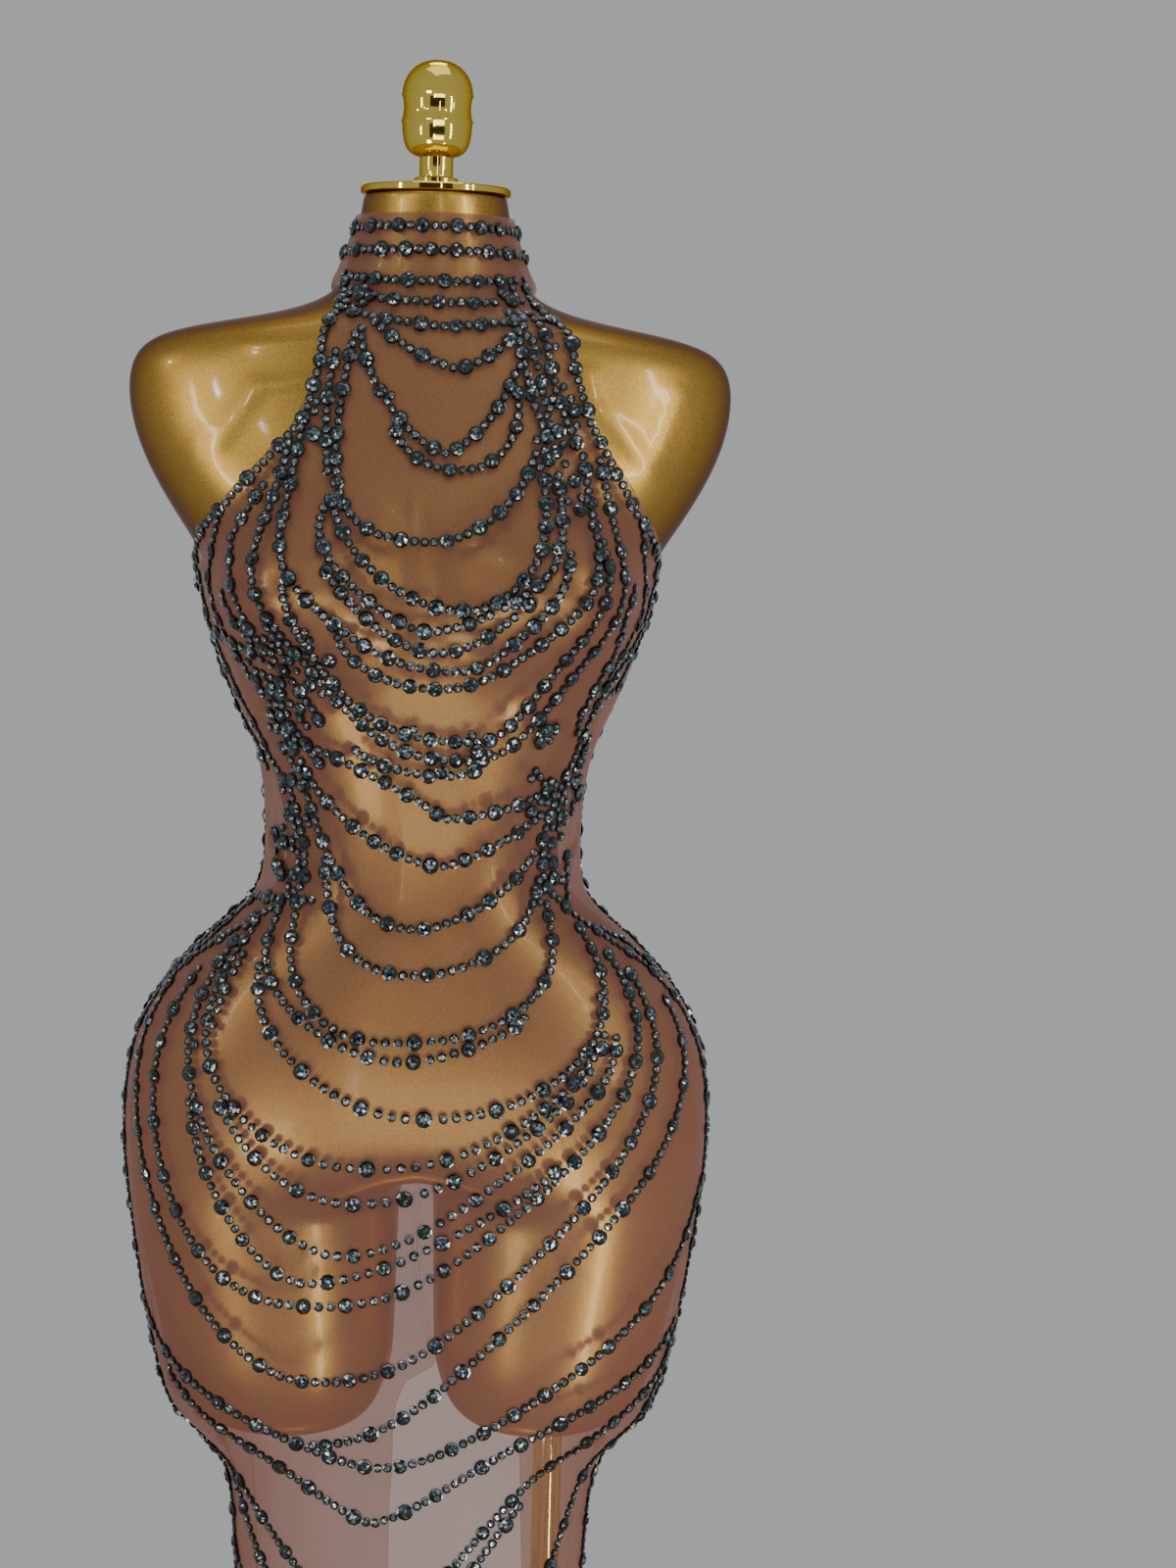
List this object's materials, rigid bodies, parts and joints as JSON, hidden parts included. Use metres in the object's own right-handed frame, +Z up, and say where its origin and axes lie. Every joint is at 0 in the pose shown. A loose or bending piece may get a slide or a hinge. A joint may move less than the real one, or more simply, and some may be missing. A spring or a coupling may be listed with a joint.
{
  "type": "sheer halter dress on a dress form",
  "caption": "Floor-length fitted halter dress of sheer stretch net with draped rows of stones, worn by a gold dress form on a pole and round base.",
  "frame": {"origin": "centre of the round base's underside, on the floor", "axes": "+Z up, the front of the dress faces -Y, the wearer's left is at +X"},
  "size_m": [0.444, 0.444, 1.6225],
  "materials": {
    "net": "sheer brown stretch net",
    "stones": "faceted dark blue glass with dark rims",
    "gold_paint": "glossy gold flake paint",
    "polished_gold": "polished bright gold"
  },
  "bodies": {
    "root": {"front": "net", "back_left": "net", "back_right": "net", "front_stones": "stones", "back_stones": "stones", "collar_ring_1": "stones", "collar_ring_2": "stones", "torso": "gold_paint", "neck_plate": "polished_gold", "finial": "polished_gold", "pole": "polished_gold", "base": "polished_gold"}
  },
  "joints": []
}
